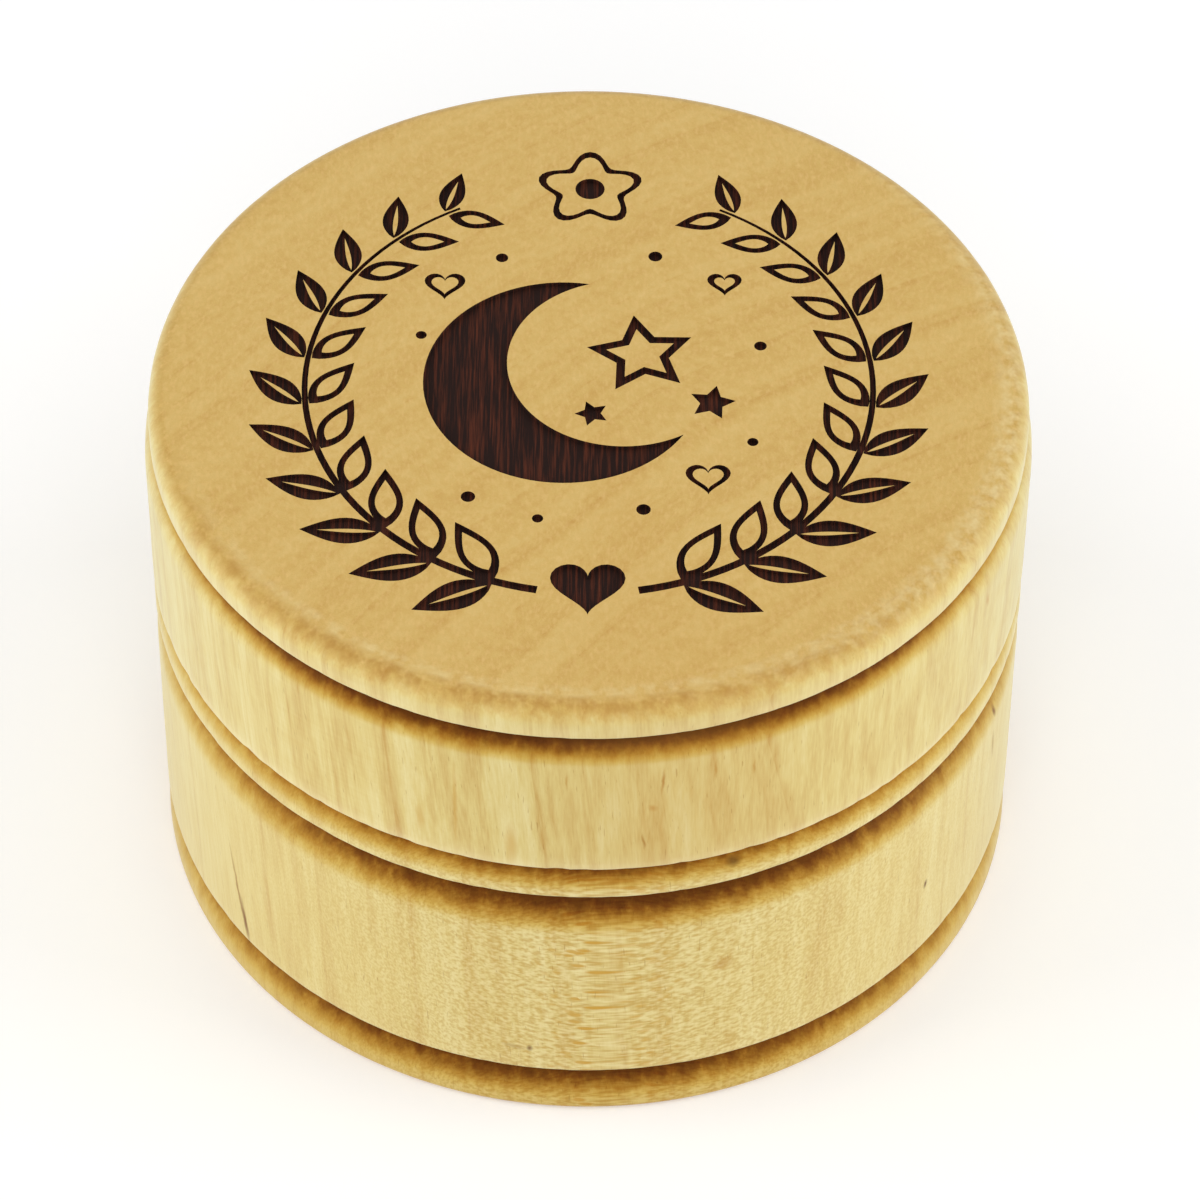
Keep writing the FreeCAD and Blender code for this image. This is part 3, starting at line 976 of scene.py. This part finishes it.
lid_faults = (
    ((5.5, 29.0), 0.0, (10.0, 14.0), 0.16, "#c08a3c"),       # a soft tan patch at the front
    ((-1.2, 32.2), 0.0, (0.1, 1.0), 0.5, "#b07818"),         # short dark fibres below the notch
    ((4.65, 32.0), -2.0, (0.14, 1.3), 0.7, "#a86c10"),
    ((7.9, 32.3), 0.0, (0.12, 1.1), 0.6, "#b07818"),
    ((10.4, 31.6), 0.0, (0.12, 0.8), 0.55, "#b07818"),
    ((4.05, 29.6), 30.0, (0.35, 0.45), 0.5, "#b97c24"),      # a spot, and a fibre below it
    ((3.5, 26.5), 6.0, (0.13, 0.9), 0.7, "#a0680c"),
    ((-4.6, 26.0), 0.0, (0.5, 2.4), 0.5, "#c29440"),         # tan streaks left of the middle
    ((-8.1, 29.0), 0.0, (0.2, 4.4), 0.5, "#c09038"),
    ((-10.4, 26.7), 0.0, (0.4, 1.4), 0.45, "#c29440"),
    ((30.4, 32.4), 10.0, (0.25, 0.8), 0.5, "#b98640"),       # a streak at the far right
)
# Radii, way, start and full share, size of the patches, strength and colour
worn_rim = (
    (25.2, 26.4, 20, (-0.2, 0.6), 0.9, 0.35, "#ecdaa4"),     # rubbed pale just inside the rim
    (25.6, 27.9, 75, (0.35, 0.95), 0.8, 0.55, "#ecdaa4"),    # paler still at the right
    (26.0, 27.8, -12, (0.3, 0.95), 0.9, 0.85, "#b0823c"),    # brown at the front
)
turned_base.data.materials.append(turned_maple(
    "turned_maple_base", pith=(-95.0, -33.0), shift=(3.0, 8.0, 1.0),
    flecks=1.0, shade=0.0, calm=0.35, faults=base_faults))
turned_lid.data.materials.append(turned_maple(
    "turned_maple_lid", pith=(67.0, -81.0), shift=(11.0, 2.0, 5.0),
    flecks=0.08, shade=0.03, calm=0.0, faults=lid_faults, rings=worn_rim))
for piece in (turned_base, turned_lid):
    print("wood:", piece.active_material.name, "nodes:", len(piece.active_material.node_tree.nodes))

# %% [markdown]
# Where the laser burnt, the wood is charred almost black and dull. One flat black would look printed, but
# the soft and hard layers char unevenly, so fine reddish streaks run across the fill.

# %% Laser-burnt maple
CHAR_STREAK = (0.16, 4.0, 4.0)   # sizes in mm


def laser_burnt_maple():
    """Charred maple: streaks of noise from black-brown to a reddish brown, which also raise the surface."""
    material, shader, node, link = new_material("laser_burnt_maple")
    char = spots(node, in_mm(node), CHAR_STREAK, 0.45, 0.75, 3.0)
    colour = node("Mix", {0: char, 6: linear("#1e0d08"), 7: linear("#5c2c1b")}, out=2, data_type="RGBA")
    link(colour, shader["Base Color"])
    link(node("Bump", {"Strength": 0.5, "Distance": 0.05 * MM, "Height": char}), shader["Normal"])
    shader["Roughness"].default_value = 0.8
    shader["Specular IOR Level"].default_value = 0.15
    return material


turned_lid.data.materials.append(laser_burnt_maple())
print("materials of the lid:", [material.name for material in turned_lid.data.materials])

# %% [markdown]
# A product photograph of this kind is made in a white tent: a pale floor, light from all round, and a
# little more from the left, the right and the front. The floor is plain and takes the box's soft shadow.
# To the camera it glows a little, so that it looks as white as paper without more light on the box.

# %% Floor
GLOW = 0.16                      # share of white that the camera sees on top of the floor's own light
bpy.ops.mesh.primitive_plane_add(size=6)
floor = bpy.context.active_object
floor.name = "studio_floor"
paper, shader, node, link = new_material("white_paper")
shader["Base Color"].default_value = linear("#f4f4f4")
shader["Roughness"].default_value = 0.9
shader["Emission Color"].default_value = (1, 1, 1, 1)
to_camera = node("LightPath", out="Is Camera Ray")
link(node("Math", {0: to_camera, 1: GLOW}, operation="MULTIPLY"), shader["Emission Strength"])
floor.data.materials.append(paper)
print("floor:", floor.name, "of", paper.name)

# %% [markdown]
# The world is the tent's white cloth. It lights the box evenly from all round, and where the camera or a
# reflection looks past the box it is plain white. A picture of a studio could light it too, but plain
# lamps show the colours as they are written. Three square softboxes stand around the box.

# %% Light
TENT = 0.58                      # strength of the cloth's light on the box
AIM = (0, 0, 20 * MM)            # about the middle of the box
SOFTBOX = 0.6                    # width of a softbox in metres
world = bpy.data.worlds.new("white_tent")
bpy.context.scene.world = world
world.use_nodes = True
sky = world.node_tree
path = add(sky, "LightPath").node
seen = path.outputs["Is Camera Ray"]
for kind in ("Is Glossy Ray", "Is Transmission Ray"):
    seen = add(sky, "Math", {0: seen, 1: path.outputs[kind]}, operation="MAXIMUM")
strength = add(sky, "MapRange", {"Value": seen, "To Min": TENT, "To Max": 1.0})
sky.links.new(strength, sky.nodes["Background"].inputs["Strength"])
sky.nodes["Background"].inputs["Color"].default_value = (1, 1, 1, 1)


def softbox(name, at, watts):
    """A square area light at a place in metres that faces the middle of the box."""
    lamp = bpy.data.lights.new(name, "AREA")
    lamp.size = SOFTBOX
    lamp.energy = watts
    stand = bpy.data.objects.new(name, lamp)
    back = np.array(at) - AIM
    back /= np.linalg.norm(back)
    side = np.cross([0, 0, 1], back)
    side /= np.linalg.norm(side)
    axes = np.column_stack([side, np.cross(back, side), back, at])
    stand.matrix_world = Matrix(np.vstack([axes, [0, 0, 0, 1]]))
    bpy.context.scene.collection.objects.link(stand)


softbox("left_softbox", (-0.8, -0.08, 0.29), 3.5)
softbox("right_softbox", (0.8, -0.08, 0.29), 3.5)
softbox("front_softbox", (0.0, -0.8, 0.62), 2.5)

# %% [markdown]
# The camera stands where the photograph's stood. Its place and lens were worked out from the round
# edges of the box, which the picture shows as ellipses of different flatness. It stands in front of the
# box, at an angle above the table, and its pitch, yaw and roll turn it one after the other. A Track To
# constraint would be simpler, but it aims at a point, and the picture isn't quite level.

# %% Camera
DISTANCE, LENS, SENSOR = 398.7 * MM, 177.4, 36.0
rise, pitch, yaw, roll = np.radians([49.39, 47.66, -0.12, 0.34])
forward = np.array([0, math.cos(pitch), -math.sin(pitch)])
up = np.array([0, math.sin(pitch), math.cos(pitch)])
right = np.array([1.0, 0, 0])


def turned_by(angle, one, other):
    """Two axes turned in their plane by the angle a: cos a one + sin a other, and cos a other - sin a one."""
    c, s = math.cos(angle), math.sin(angle)
    return c * one + s * other, c * other - s * one


right, forward = turned_by(yaw, right, forward)
right, up = turned_by(roll, right, up)
stand = DISTANCE * np.array([0, -math.cos(rise), math.sin(rise)])
lens = bpy.data.cameras.new("camera")
lens.lens, lens.sensor_width, lens.sensor_fit = LENS, SENSOR, "HORIZONTAL"
lens.clip_start = 0.01
camera = bpy.data.objects.new("camera", lens)
camera.matrix_world = Matrix(np.vstack([np.column_stack([right, up, -forward, stand]), [0, 0, 0, 1]]))
bpy.context.scene.collection.objects.link(camera)
bpy.context.scene.camera = camera
bpy.context.scene.view_settings.view_transform = "Standard"
print("camera at", [round(float(v), 4) for v in stand])
